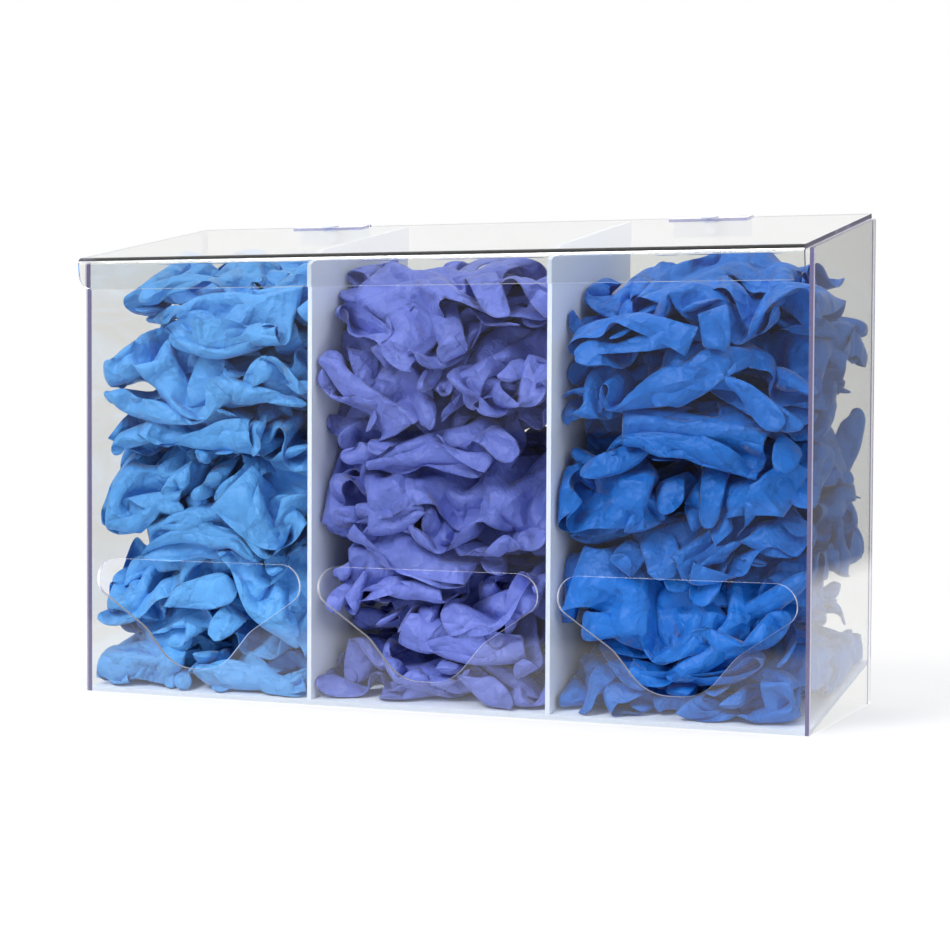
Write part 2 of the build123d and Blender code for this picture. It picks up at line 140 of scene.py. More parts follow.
def turnedAway(tree, apart, x, y):
    # how far a place or direction lies front right or rear left, away from what the front
    # and the right side mirror: the product of across and deep, where it is below zero
    product = addNode(tree, "ShaderNodeMath", x, y, operation="MULTIPLY")
    below = addNode(tree, "ShaderNodeMath", x + 150, y, operation="MINIMUM")
    below.inputs[1].default_value = 0
    size = addNode(tree, "ShaderNodeMath", x + 300, y, operation="ABSOLUTE")
    tree.links.new(apart.outputs["X"], product.inputs[0])
    tree.links.new(apart.outputs["Y"], product.inputs[1])
    tree.links.new(product.outputs[0], below.inputs[0])
    tree.links.new(below.outputs[0], size.inputs[0])
    return size


def makeStage():
    material, tree = newMaterial("pale floor")
    out = addNode(tree, "ShaderNodeOutputMaterial", 900)
    matt = addNode(tree, "ShaderNodeBsdfDiffuse", 0)
    matt.inputs["Color"].default_value = (*stageLook["floorColor"], 1)
    place = addNode(tree, "ShaderNodeTexCoord", -900, -200)
    span = addNode(tree, "ShaderNodeVectorMath", -700, -200, operation="LENGTH")
    fade = addNode(tree, "ShaderNodeMapRange", -500, -200)
    fade.inputs["From Min"].default_value = stageLook["shadowReach"][0]
    fade.inputs["From Max"].default_value = stageLook["shadowReach"][1]
    fade.inputs["To Min"].default_value = stageLook["nearWhite"]
    path = addNode(tree, "ShaderNodeLightPath", -900, 300)
    seen = addNode(tree, "ShaderNodeMath", -700, 300, operation="MAXIMUM")
    tree.links.new(path.outputs["Is Camera Ray"], seen.inputs[0])
    tree.links.new(path.outputs["Is Transmission Ray"], seen.inputs[1])
    white = addNode(tree, "ShaderNodeEmission", 0, -200)
    apart = addNode(tree, "ShaderNodeSeparateXYZ", -900, -600)
    shade = addNode(tree, "ShaderNodeMapRange", -700, -600)
    shade.inputs["From Min"].default_value = stageLook["whiteFloor"][0]
    shade.inputs["From Max"].default_value = stageLook["whiteFloor"][1]
    shade.inputs["To Min"].default_value = stageLook["darkFront"]
    mirrored = addNode(tree, "ShaderNodeMath", -500, 300, operation="MINIMUM")
    mirrored.inputs[1].default_value = 1
    tree.links.new(path.outputs["Glossy Depth"], mirrored.inputs[0])
    sheen = addNode(tree, "ShaderNodeEmission", 0, -400)
    tree.links.new(place.outputs["Object"], apart.inputs[0])
    tree.links.new(apart.outputs["Y"], shade.inputs["Value"])
    wide = addNode(tree, "ShaderNodeMath", -700, -800, operation="ABSOLUTE")
    side = addNode(tree, "ShaderNodeMapRange", -500, -800)
    side.inputs["From Min"].default_value = stageLook["whiteSides"][1]
    side.inputs["From Max"].default_value = stageLook["whiteSides"][0]
    side.inputs["To Min"].default_value = stageLook["darkFront"]
    held = addNode(tree, "ShaderNodeMath", -300, -700, operation="MULTIPLY")
    tree.links.new(apart.outputs["X"], wide.inputs[0])
    tree.links.new(wide.outputs[0], side.inputs["Value"])
    tree.links.new(side.outputs[0], held.inputs[0])
    tree.links.new(shade.outputs[0], held.inputs[1])
    turned = turnedAway(tree, apart, -700, -1000)
    clear = addNode(tree, "ShaderNodeMapRange", -300, -1000)
    clear.inputs["From Min"].default_value = 0.05
    clear.inputs["From Max"].default_value = 0.2
    lighter = addNode(tree, "ShaderNodeMath", -150, -800, operation="MAXIMUM")
    tree.links.new(turned.outputs[0], clear.inputs["Value"])
    tree.links.new(held.outputs[0], lighter.inputs[0])
    tree.links.new(clear.outputs[0], lighter.inputs[1])
    tree.links.new(lighter.outputs[0], sheen.inputs["Strength"])
    gloss = addNode(tree, "ShaderNodeMixShader", 650)
    share = addNode(tree, "ShaderNodeMath", -200, 200, operation="MULTIPLY")
    tree.links.new(place.outputs["Object"], span.inputs[0])
    tree.links.new(span.outputs["Value"], fade.inputs["Value"])
    tree.links.new(fade.outputs[0], share.inputs[0])
    tree.links.new(seen.outputs[0], share.inputs[1])
    mixed = addNode(tree, "ShaderNodeMixShader", 400)
    tree.links.new(share.outputs[0], mixed.inputs[0])
    tree.links.new(matt.outputs[0], mixed.inputs[1])
    tree.links.new(white.outputs[0], mixed.inputs[2])
    tree.links.new(mirrored.outputs[0], gloss.inputs[0])
    tree.links.new(mixed.outputs[0], gloss.inputs[1])
    tree.links.new(sheen.outputs[0], gloss.inputs[2])
    tree.links.new(gloss.outputs[0], out.inputs[0])
    half = stageLook["size"]
    floor = makeMesh(
        "floor",
        [(-half, -half, 0), (half, -half, 0), (half, half, 0), (-half, half, 0)],
        [(0, 1, 2, 3)],
        material,
        smooth=False,
    )
    world = bpy.data.worlds.new("studio")
    world.use_nodes = True
    tree = world.node_tree
    tree.nodes.clear()
    out = addNode(tree, "ShaderNodeOutputWorld", 600)
    background = addNode(tree, "ShaderNodeBackground", 300)
    path = addNode(tree, "ShaderNodeLightPath", -400)
    seen = addNode(tree, "ShaderNodeMath", -200, operation="MAXIMUM")
    strength = addNode(tree, "ShaderNodeMapRange", 150)
    tree.links.new(path.outputs["Is Camera Ray"], seen.inputs[0])
    tree.links.new(path.outputs["Is Transmission Ray"], seen.inputs[1])
    tree.links.new(seen.outputs[0], strength.inputs["Value"])
    strength.inputs["To Min"].default_value = stageLook["worldStrength"]
    strength.inputs["To Max"].default_value = 1.0
    place = addNode(tree, "ShaderNodeTexCoord", -800, -300)
    apart = addNode(tree, "ShaderNodeSeparateXYZ", -600, -300)
    dark = addNode(tree, "ShaderNodeMapRange", -300, -300)
    dark.inputs["From Min"].default_value = 0.10
    dark.inputs["From Max"].default_value = 0.22
    dark.inputs["To Min"].default_value = stageLook["darkFront"]
    dark.inputs["To Max"].default_value = 1.0
    tree.links.new(place.outputs["Generated"], apart.inputs[0])
    turned = turnedAway(tree, apart, -600, -600)
    lift = addNode(tree, "ShaderNodeMath", -450, -300, operation="MULTIPLY_ADD")
    lift.inputs[1].default_value = stageLook["backLight"]
    tree.links.new(turned.outputs[0], lift.inputs[0])
    tree.links.new(apart.outputs["Z"], lift.inputs[2])
    tree.links.new(lift.outputs[0], dark.inputs["Value"])
    pick = addNode(tree, "ShaderNodeMix", 220, -200, data_type="FLOAT")
    mirrored = addNode(tree, "ShaderNodeMath", 0, 0, operation="MINIMUM")
    mirrored.inputs[1].default_value = 1
    tree.links.new(path.outputs["Glossy Depth"], mirrored.inputs[0])
    tree.links.new(mirrored.outputs[0], pick.inputs[0])
    background.inputs["Color"].default_value = (1, 1, 1, 1)
    tree.links.new(strength.outputs[0], pick.inputs[2])
    tree.links.new(dark.outputs[0], pick.inputs[3])
    tree.links.new(pick.outputs[0], background.inputs["Strength"])
    tree.links.new(background.outputs[0], out.inputs[0])
    bpy.context.scene.world = world


def makeLamps():
    for name, look in lampLook.items():
        data = bpy.data.lights.new(name, "AREA")
        data.shape = "DISK"
        data.size = look["size"]
        data.energy = look["power"]
        lamp = bpy.data.objects.new(name, data)
        lamp.location = look["place"]
        lamp.visible_glossy = name != "top"
        aim = Vector(look["aim"]) - Vector(look["place"])
        lamp.rotation_euler = aim.to_track_quat("-Z", "Y").to_euler()
        bpy.context.collection.objects.link(lamp)


clearLook = {
    "tint": (0.925, 0.93, 0.915),
    "roughness": 0.015,
    "ior": 1.54,
    "cutFacing": (0.55, 0.75),     # how far a face is turned where the mask changes over
    "mouldedClarity": 0.45,    # the hinge leaves are moulded and let less through
    "violetEdge": (0.40, 0.39, 0.51),     # a cut edge seen into the sheet's width
    "paleEdge": (0.97, 0.97, 0.98),
    "violetRoughness": 0.12,
    "violetGlow": (0.075, 0.068, 0.11),    # painted glow: emission on the cut edge, standing in for light that the sheet pipes out of its edge
    "paleRoughness": 0.35,
    # painted glow of the pale cut edge: an emission, though the sheet is no lamp
    "paleGlow": (0.22, 0.22, 0.23),
}

whiteLook = {
    # pale blue-white: partly the sheet's own white, partly a painted blue cast that stands in for light
    # the blue gloves throw on it
    "color": (0.80, 0.86, 0.95),
    "roughness": 0.55,
    "grain": 0.25,
    "grainScale": 900,
    "grainHeight": 0.0004,
}


def makeCutEdgeGroup():
    # 1 where a face was cut across the sheet, from how far its normal leaves Across
    tree, given, result = newGroup(
        "cut edge",
        (("Across", "NodeSocketVector"), ("Low", "NodeSocketFloat"), ("High", "NodeSocketFloat")),
        "Cut",
    )
    form = addNode(tree, "ShaderNodeNewGeometry", -900, 100)
    held = addNode(
        tree, "ShaderNodeVectorTransform", -700, 100,
        vector_type="NORMAL", convert_from="WORLD", convert_to="OBJECT",
    )
    facing = addNode(tree, "ShaderNodeVectorMath", -500, 100, operation="DOT_PRODUCT")
    size = addNode(tree, "ShaderNodeMath", -300, 100, operation="ABSOLUTE")
    cut = addNode(tree, "ShaderNodeMapRange", -100, 100)
    tree.links.new(form.outputs["True Normal"], held.inputs[0])
    tree.links.new(held.outputs[0], facing.inputs[0])
    tree.links.new(given.outputs["Across"], facing.inputs[1])
    tree.links.new(facing.outputs["Value"], size.inputs[0])
    tree.links.new(size.outputs[0], cut.inputs["Value"])
    tree.links.new(given.outputs["Low"], cut.inputs["From Min"])
    tree.links.new(given.outputs["High"], cut.inputs["From Max"])
    tree.links.new(cut.outputs[0], result)


def makeGrainGroup():
    # fine even noise over the object, for moulded and textured plastic
    tree, given, result = newGroup("fine grain", (("Scale", "NodeSocketFloat"),), "Grain")
    place = addNode(tree, "ShaderNodeTexCoord", -600)
    grain = addNode(tree, "ShaderNodeTexNoise", -300)
    grain.inputs["Detail"].default_value = 2
    tree.links.new(place.outputs["Object"], grain.inputs["Vector"])
    tree.links.new(given.outputs["Scale"], grain.inputs["Scale"])
    tree.links.new(grain.outputs["Fac"], result)


def clearSheetMaterial(name, across, edge, edgeRoughness, glow, lengthwise=False, clarity=1.0):
    # Clear plastic with a set tint and a painted glow (emission) where the sheet was cut; across is the
    # sheet's normal, or the way its cut ends face. Light passes straight through it to what is inside.
    material, tree = newMaterial(name)
    out = addNode(tree, "ShaderNodeOutputMaterial", 900)
    glass = addNode(tree, "ShaderNodeBsdfPrincipled", 200, 100)
    glass.inputs["IOR"].default_value = clearLook["ior"]
    glass.inputs["Transmission Weight"].default_value = clarity
    low, high = clearLook["cutFacing"] if lengthwise else clearLook["cutFacing"][::-1]
    cut = useGroup(tree, "cut edge", -400, 100, Across=across, Low=low, High=high)
    tint = addNode(tree, "ShaderNodeMix", -150, 200, data_type="RGBA")
    tint.inputs[6].default_value = (*clearLook["tint"], 1)
    tint.inputs[7].default_value = (*edge, 1)
    rough = addNode(tree, "ShaderNodeMapRange", -150, 0)
    rough.inputs["To Min"].default_value = clearLook["roughness"]
    rough.inputs["To Max"].default_value = edgeRoughness
    tree.links.new(cut.outputs[0], tint.inputs[0])
    tree.links.new(cut.outputs[0], rough.inputs["Value"])
    # painted glow: cut faces emit light of their own, standing in for light piped out of the sheet
    paintedEdgeGlow = addNode(tree, "ShaderNodeMix", -150, -150, data_type="RGBA")
    paintedEdgeGlow.inputs[6].default_value = (0, 0, 0, 1)
    paintedEdgeGlow.inputs[7].default_value = (*glow, 1)
    tree.links.new(cut.outputs[0], paintedEdgeGlow.inputs[0])
    tree.links.new(paintedEdgeGlow.outputs[2], glass.inputs["Emission Color"])
    glass.inputs["Emission Strength"].default_value = 1.0
    tree.links.new(tint.outputs[2], glass.inputs["Base Color"])
    tree.links.new(rough.outputs[0], glass.inputs["Roughness"])
    clear = addNode(tree, "ShaderNodeBsdfTransparent", 200, -500)
    clear.inputs["Color"].default_value = (0.93, 0.94, 0.96, 1)
    path = addNode(tree, "ShaderNodeLightPath", -400, -300)
    passes = addNode(tree, "ShaderNodeMath", -150, -300, operation="MAXIMUM")
    tree.links.new(path.outputs["Is Shadow Ray"], passes.inputs[0])
    tree.links.new(path.outputs["Is Diffuse Ray"], passes.inputs[1])
    mix = addNode(tree, "ShaderNodeMixShader", 650)
    tree.links.new(passes.outputs[0], mix.inputs[0])
    tree.links.new(glass.outputs[0], mix.inputs[1])
    tree.links.new(clear.outputs[0], mix.inputs[2])
    tree.links.new(mix.outputs[0], out.inputs[0])
    return material


def whiteSheetMaterial():
    material, tree = newMaterial("white sheet")
    out = addNode(tree, "ShaderNodeOutputMaterial", 700)
    body = addNode(tree, "ShaderNodeBsdfPrincipled", 400)
    # the base colour carries a painted blue cast from the gloves' light on top of the sheet's white
    body.inputs["Base Color"].default_value = (*whiteLook["color"], 1)
    body.inputs["Roughness"].default_value = whiteLook["roughness"]
    grain = useGroup(tree, "fine grain", -300, Scale=whiteLook["grainScale"])
    bump = addNode(tree, "ShaderNodeBump", 100)
    bump.inputs["Strength"].default_value = whiteLook["grain"]
    bump.inputs["Distance"].default_value = whiteLook["grainHeight"]
    tree.links.new(grain.outputs["Grain"], bump.inputs["Height"])
    tree.links.new(bump.outputs[0], body.inputs["Normal"])
    tree.links.new(body.outputs[0], out.inputs[0])
    return material


rivetLook = {
    "color": (0.80, 0.82, 0.84),
    "roughness": 0.30,
    "metallic": 0.0,
    "scratches": 0.10,
    "grainScale": 600,
}

pinLook = {
    "color": (0.62, 0.62, 0.63),
    "roughness": 0.30,
    "metallic": 1.0,
    "scratches": 0.15,
    "grainScale": 600,
}


def plainMaterial(name, look):
    # Small solid parts: one colour, with the roughness broken up by handling.
    material, tree = newMaterial(name)
    out = addNode(tree, "ShaderNodeOutputMaterial", 700)
    body = addNode(tree, "ShaderNodeBsdfPrincipled", 400)
    body.inputs["Base Color"].default_value = (*look["color"], 1)
    body.inputs["Metallic"].default_value = look["metallic"]
    worn = useGroup(tree, "fine grain", -400, Scale=look["grainScale"])
    rough = addNode(tree, "ShaderNodeMapRange", -100)
    rough.inputs["To Min"].default_value = look["roughness"] - look["scratches"]
    rough.inputs["To Max"].default_value = look["roughness"] + look["scratches"]
    tree.links.new(worn.outputs["Grain"], rough.inputs["Value"])
    tree.links.new(rough.outputs[0], body.inputs["Roughness"])
    tree.links.new(body.outputs[0], out.inputs[0])
    return material


gloveLook = {
    "left": {"color": (0.09, 0.335, 0.74)},
    "middle": {"color": (0.125, 0.17, 0.56)},
    "right": {"color": (0.004, 0.135, 0.53)},
    "roughness": 0.52,
    "noiseScale": 7,
    "noiseShare": 0.2,
    "borderBend": 0.12,       # how far the noise bends the cells' borders
    "cellScale": 2.6,
    "creaseHeight": 0.011,    # metres, before the bump's own falloff
}


def makeCreaseGroup():
    # height of the film's fine creases: cells with bent borders, and a little noise
    tree, given, result = newGroup("film creases", (), "Height")
    place = addNode(tree, "ShaderNodeUVMap", -700, uv_map="film")
    fine = addNode(tree, "ShaderNodeTexNoise", -400)
    fine.inputs["Scale"].default_value = gloveLook["noiseScale"]
    fine.inputs["Detail"].default_value = 3
    bend = addNode(tree, "ShaderNodeVectorMath", -500, -300, operation="MULTIPLY_ADD")
    bend.inputs[1].default_value = (gloveLook["borderBend"], gloveLook["borderBend"], 0)
    facets = addNode(tree, "ShaderNodeTexVoronoi", -300, -300, feature="F1")
    facets.inputs["Scale"].default_value = gloveLook["cellScale"]
    facets.inputs["Detail"].default_value = 1.5
    facets.inputs["Roughness"].default_value = 0.5
    both = addNode(tree, "ShaderNodeMath", -100, -200, operation="MULTIPLY_ADD")
    both.inputs[1].default_value = gloveLook["noiseShare"]
    tree.links.new(place.outputs[0], fine.inputs["Vector"])
    tree.links.new(fine.outputs["Color"], bend.inputs[0])
    tree.links.new(place.outputs[0], bend.inputs[2])
    tree.links.new(bend.outputs[0], facets.inputs["Vector"])
    tree.links.new(fine.outputs["Fac"], both.inputs[0])
    tree.links.new(facets.outputs["Distance"], both.inputs[2])
    tree.links.new(both.outputs[0], result)


def gloveMaterial(heap):
    material, tree = newMaterial(f"{heap} glove film")
    out = addNode(tree, "ShaderNodeOutputMaterial", 700)
    film = addNode(tree, "ShaderNodeBsdfPrincipled", 400)
    film.inputs["Base Color"].default_value = (*gloveLook[heap]["color"], 1)
    film.inputs["Roughness"].default_value = gloveLook["roughness"]
    film.inputs["Specular IOR Level"].default_value = 0.35
    film.inputs["Sheen Weight"].default_value = 0.15
    film.inputs["Sheen Roughness"].default_value = 0.4
    creases = useGroup(tree, "film creases", -200)
    bump = addNode(tree, "ShaderNodeBump", 100)
    bump.inputs["Strength"].default_value = 1.0
    bump.inputs["Distance"].default_value = gloveLook["creaseHeight"]
    tree.links.new(creases.outputs["Height"], bump.inputs["Height"])
    tree.links.new(bump.outputs[0], film.inputs["Normal"])
    tree.links.new(film.outputs[0], out.inputs[0])
    return material


handCut = {
    "palmWidth": 104.0,       # millimetres, flat
    "cuffWidth": 98.0,
    "palmLength": 168.0,
    "fingerLengths": (70.0, 80.0, 75.0, 60.0),
    "fingerSplay": 4.0,
    "thumbLength": 62.0,
    "thumbWidth": 31.0,
    "thumbAngle": 38.0,
    "columnsPerFinger": 4,
    "palmRows": 26,
    "fingerRows": 13,
    "thumbRows": 10,
    "thumbColumns": 5,
    "thumbRow": 11,           # palm row where the thumb's base starts
}

# how a glove lies in its heap: the same hand, creased short and bent into its layer
lyingHand = {
    "spreadPalm": 106.0,
    "narrowPalm": 62.0,
    "length": 154.0,
    "fingerLength": 60.0,
    "fingerShares": (0.86, 1.0, 0.96, 0.78),
    "fingerSplay": 6.0,
    "thumbLength": 46.0,
    "spreadThumbAngle": 52.0,
    "narrowThumbAngle": 24.0,
    "wallGap": 1.2,
    "sideGap": 1.6,
    "softStart": 0.72,
}

# the gloves of each heap, from the lowest layer up: place in the layer, heading, thumb side
heaps = {
    "left": [
        ("left", 186, -1), ("right", 6, 1), ("whole", -82, 1), ("front", 94, -1), ("rear", -86, 1),
        ("whole", 10, -1), ("left", 12, 1), ("right", 190, 1), ("whole", 98, -1), ("front", -92, -1),
        ("rear", 88, -1), ("whole", 172, 1),
    ],
    "middle": [
        ("front", -84, 1), ("rear", 96, 1), ("whole", 4, -1), ("left", 172, 1), ("right", -8, -1),
        ("whole", 92, 1), ("front", 86, 1), ("rear", -94, -1), ("whole", -6, 1), ("left", -4, -1),
        ("right", 8, 1), ("whole", -88, -1),
    ],
    "right": [
        ("left", -6, 1), ("right", 184, -1), ("whole", 188, 1), ("front", -96, 1), ("rear", 84, 1),
        ("whole", -10, -1), ("left", 176, -1), ("right", -4, 1), ("whole", -92, 1), ("front", 88, 1),
        ("rear", -92, -1), ("whole", 14, 1),
    ],
}


def tipShape(share):
    # Width of a finger along its length: a slight taper, then a round end.
    taper = 1 - 0.12 * share
    end = np.clip((share - 0.80) / 0.20, 0, 1)
    return taper * np.sqrt(np.maximum(1 - (0.975 * end) ** 2, 0))


def handPatches(cutAs, palmAt):
    # The hand's plan as grids, one for the palm, each finger and the thumb. A patch runs from
    # its root along rows and across in columns; a finger's half width follows tipShape.
    cut = handCut
    wide = 4 * cut["columnsPerFinger"]
    r, c = np.meshgrid(np.arange(cut["palmRows"] + 1), np.arange(wide + 1), indexing="ij")
    share = r / cut["palmRows"]
    width = cutAs["cuffWidth"] + (cutAs["palmWidth"] - cutAs["cuffWidth"]) * share
    patches = {"palm": np.stack([(c / wide - 0.5) * width, palmAt + share * cutAs["palmLength"]], -1)}
    top = palmAt + cutAs["palmLength"]
    middleRow = (cut["thumbRow"] + cut["thumbColumns"] / 2) / cut["palmRows"]
    roots = [
        (("finger", i), (i - 1.5) * cutAs["palmWidth"] / 4, top, (i - 1.5) * cutAs["fingerSplay"],
         cutAs["fingerLengths"][i], cutAs["palmWidth"] / 4, cut["fingerRows"], cut["columnsPerFinger"], 1)
        for i in range(4)
    ]
    roots.append(
        ("thumb", cutAs["palmWidth"] / 2, palmAt + middleRow * cutAs["palmLength"],
         cutAs["thumbAngle"], cutAs["thumbLength"], cutAs["thumbWidth"], cut["thumbRows"],
         cut["thumbColumns"], -1)
    )
    for name, rootX, rootY, angle, length, width, rows, columns, hand in roots:
        r, c = np.meshgrid(np.arange(rows + 1), np.arange(columns + 1), indexing="ij")
        share = 1 - (1 - r / rows) ** 1.35
        side = (c / columns - 0.5) * width * tipShape(share) * hand
        turn = math.radians(angle)
        reach = length * share
        patches[name] = np.stack(
            [rootX + reach * math.sin(turn) + side * math.cos(turn),
             rootY + reach * math.cos(turn) - side * math.sin(turn)], -1
        )
    return patches


def flatPatches():
    return handPatches(handCut, 0)


def lyingPatches(spread):
    lie = lyingHand
    palm = lie["spreadPalm"] if spread else lie["narrowPalm"]
    shape = {
        "cuffWidth": palm * 1.06,
        "palmWidth": palm,
        "palmLength": lie["length"] - lie["fingerLength"],
        "fingerLengths": [lie["fingerLength"] * share for share in lie["fingerShares"]],
        "fingerSplay": lie["fingerSplay"],
        "thumbLength": lie["thumbLength"],
        "thumbWidth": min(palm / 4, 22.0),
        "thumbAngle": lie["spreadThumbAngle"] if spread else lie["narrowThumbAngle"],
    }
    return handPatches(shape, -lie["length"] / 2)


def handMesh():
    # Vertices, quads and distance pairs of one glove: two skins joined round the outline.
    cut = handCut
    wide = 4 * cut["columnsPerFinger"]
    patches = [flatPatches(), lyingPatches(True), lyingPatches(False)]
    grids, places = {}, [np.empty((0, 3, 2))]

    def fill(name, outline, first=None):
        # each new place gets one vertex on the outline and two inside it, one for each skin
        shape = patches[0][name].shape[:2]
        r, c = np.indices(shape)
        both = np.where(outline(r, c, *shape), 0, 1)
        new = np.ones(shape, dtype=bool) if first is None else r > 0
        base = sum(len(place) for place in places)
        counts = np.where(new, both + 1, 0).ravel()
        upper = (base + np.cumsum(counts) - counts).reshape(shape)
        grid = np.stack([upper, upper + both])
        if first is not None:
            grid[:, 0] = first
        grids[name] = grid
        where = np.stack([patch[name] for patch in patches], 2).reshape(-1, 3, 2)
        places.append(np.repeat(where, counts, axis=0))
        return grid

    def palmOutline(r, c, rows, columns):
        thumb = (r > cut["thumbRow"]) & (r < cut["thumbRow"] + cut["thumbColumns"])
        right = (c == columns - 1) & ~thumb
        return (c == 0) | right | ((r == rows - 1) & (c % cut["columnsPerFinger"] == 0))

    def fingerOutline(r, c, rows, columns):
        return (c == 0) | (c == columns - 1) | (r == rows - 1)

    palm = fill("palm", palmOutline)
    for finger in range(4):
        low = finger * cut["columnsPerFinger"]
        first = palm[:, -1, low:low + cut["columnsPerFinger"] + 1]
        fill(("finger", finger), fingerOutline, first)
    first = palm[:, cut["thumbRow"]:cut["thumbRow"] + cut["thumbColumns"] + 1, wide]
    fill("thumb", fingerOutline, first)

    quads, pairs, bends = [], [], []
    for name, grid in grids.items():
        for skin in (0, 1):
            g = grid[skin]
            q = np.stack([g[:-1, :-1], g[:-1, 1:], g[1:, 1:], g[1:, :-1]], -1).reshape(-1, 4)
            if name == "thumb":
                q = q[:, ::-1]
            quads.append(q if skin == 0 else q[:, ::-1])
            for a, b in (
                (g[:-1], g[1:]),
                (g[:, :-1], g[:, 1:]),
                (g[:-1, :-1], g[1:, 1:]),
                (g[:-1, 1:], g[1:, :-1]),
            ):
                pairs.append(np.stack([a.ravel(), b.ravel()], -1))
            for a, b in ((g[:-2], g[2:]), (g[:, :-2], g[:, 2:])):
                bends.append(np.stack([a.ravel(), b.ravel()], -1))
    for finger in range(4):           # bends across the roots of the fingers
        low = finger * cut["columnsPerFinger"]
        a = palm[:, -2, low:low + cut["columnsPerFinger"] + 1].ravel()
        bends.append(np.stack([a, grids["finger", finger][:, 1].ravel()], -1))
    quads = np.concatenate(quads)
    ordered = np.sort(quads, axis=1)
    keep = (ordered[:, 1:] != ordered[:, :-1]).all(axis=1)
    pairs, bends = (
        np.unique(np.sort(np.concatenate(found), axis=1), axis=0) for found in (pairs, bends)
    )
    pairs = pairs[pairs[:, 0] != pairs[:, 1]]
    bends = bends[bends[:, 0] != bends[:, 1]]
    upperOnly = np.concatenate([g[0].ravel() for g in grids.values()])
    lowerOnly = np.concatenate([g[1].ravel() for g in grids.values()])
    places = np.concatenate(places)
    side = np.zeros(len(places))
    side[upperOnly] += 1
    side[lowerOnly] -= 1
    return {
        "flat": places[:, 0],
        "spread": places[:, 1],
        "narrow": places[:, 2],
        "quads": quads[keep],
        "pairs": pairs,
        "bends": bends,
        "side": np.sign(side),
        "rim": grids["palm"][:, 0],
    }


def colourPairs(pairs, count):
    # groups in which no vertex comes twice: each round takes the pairs that rank lowest at both
    # their ends, and frees no vertex until the group is full
    rank = np.random.default_rng(1).permutation(len(pairs))
    group = np.full(len(pairs), -1)
    number = 0
    while (group < 0).any():
        free = group < 0
        while free.any():
            lowest = np.full(count, len(pairs))
            np.minimum.at(lowest, pairs[free, 0], rank[free])
            np.minimum.at(lowest, pairs[free, 1], rank[free])
            won = free & (lowest[pairs] == rank[:, None]).all(axis=1)
            group[won] = number
            taken = np.zeros(count, dtype=bool)
            taken[pairs[won]] = True
            free &= ~taken[pairs].any(axis=1)
        number += 1
    return [np.flatnonzero(group == n) for n in range(number)]


def softLimit(value, limit):
    start = lyingHand["softStart"] * limit
    room = limit - start
    over = (np.abs(value) - start) / room
    return np.where(np.abs(value) <= start, value, np.sign(value) * (start + room * np.tanh(over)))


def nodeTriangles(name):
    # Triangles of a CAD node in millimetres.
    mesh = nodes[name].data
    points = np.empty(len(mesh.vertices) * 3)
    mesh.vertices.foreach_get("co", points)
    mesh.calc_loop_triangles()
    corners = np.empty(len(mesh.loop_triangles) * 3, dtype=int)
    mesh.loop_triangles.foreach_get("vertices", corners)
    return points.reshape(-1, 3)[corners].reshape(-1, 3, 3) * 1000


def heightOn(triangles, spots):
    # Height of a skin over each spot, taken from the facet that holds it or lies nearest.
    a, b, c = (triangles[:, i][:, None] for i in range(3))
    ab, ac, ap = b - a, c - a, spots[None] - a[..., :2]
    area = ab[..., 0] * ac[..., 1] - ab[..., 1] * ac[..., 0]
    v = (ap[..., 0] * ac[..., 1] - ap[..., 1] * ac[..., 0]) / area
    w = (ab[..., 0] * ap[..., 1] - ab[..., 1] * ap[..., 0]) / area
    weights = np.stack([1 - v - w, v, w])
    worst = weights.min(axis=0)
    best = worst.argmax(axis=0)
    picked = np.clip(weights[:, best, np.arange(len(spots))], 0, None)
    picked /= picked.sum(axis=0)
    return (picked * triangles[best, :, 2].T).sum(axis=0)


compartment = {"count": 3, "names": ("left", "middle", "right")}


def insideOf(heap):
    # Inner faces of a compartment, in millimetres, from the boxes of the sheets round it.
    walls = ("left_side_panel", "left_divider", "right_divider", "right_side_panel")
    index = compartment["names"].index(heap)
    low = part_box(walls[index])[1][0] * 1000
    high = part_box(walls[index + 1])[0][0] * 1000
    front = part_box("front_panel")[1][1] * 1000
    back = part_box("back_panel")[0][1] * 1000
    return low, high, front, back


layering = {
    "whole": ((180, -1), (0, 1), (84, -1), (-70, 1)),      # turn and hand of each glove, from below
    "half": ((180, 1), (0, 1)),
    "puff": 0.3,
    "sway": 15.0,             # degrees that a glove is turned off its solid's heading
    "shift": 8.0,             # millimetres that it lies off its solid's middle
}


def spaceOf(heap, place):
    # Middle and half size, across and deep, of a glove's place in its layer.
    low, high, front, back = insideOf(heap)
    half = np.array([(high - low) / 2, (back - front) / 2]) - lyingHand["wallGap"]
    middle = np.array([(low + high) / 2, (front + back) / 2])
    if place != "whole":
        axis = 0 if place in ("left", "right") else 1
        quarter = (half[axis] - lyingHand["sideGap"] / 2) / 2
        middle[axis] += (quarter + lyingHand["sideGap"] / 2) * (-1 if place in ("left", "front") else 1)
        half[axis] = quarter
    return middle, half


def glovesOf(heap, index):
    # The gloves that fill one solid of the heap: part number, heading and thumb side.
    place, heading, thumbSide = heaps[heap][index]
    turns = layering["whole"] if place == "whole" else layering["half"]
    sway = layering["sway"] * (1.0 if place == "whole" else 0.6)
    return [
        (part, heading + turn + sway * math.sin(2.4 * index + 1.9 * part + len(heap)), thumbSide * hand)
        for part, (turn, hand) in enumerate(turns)
    ]


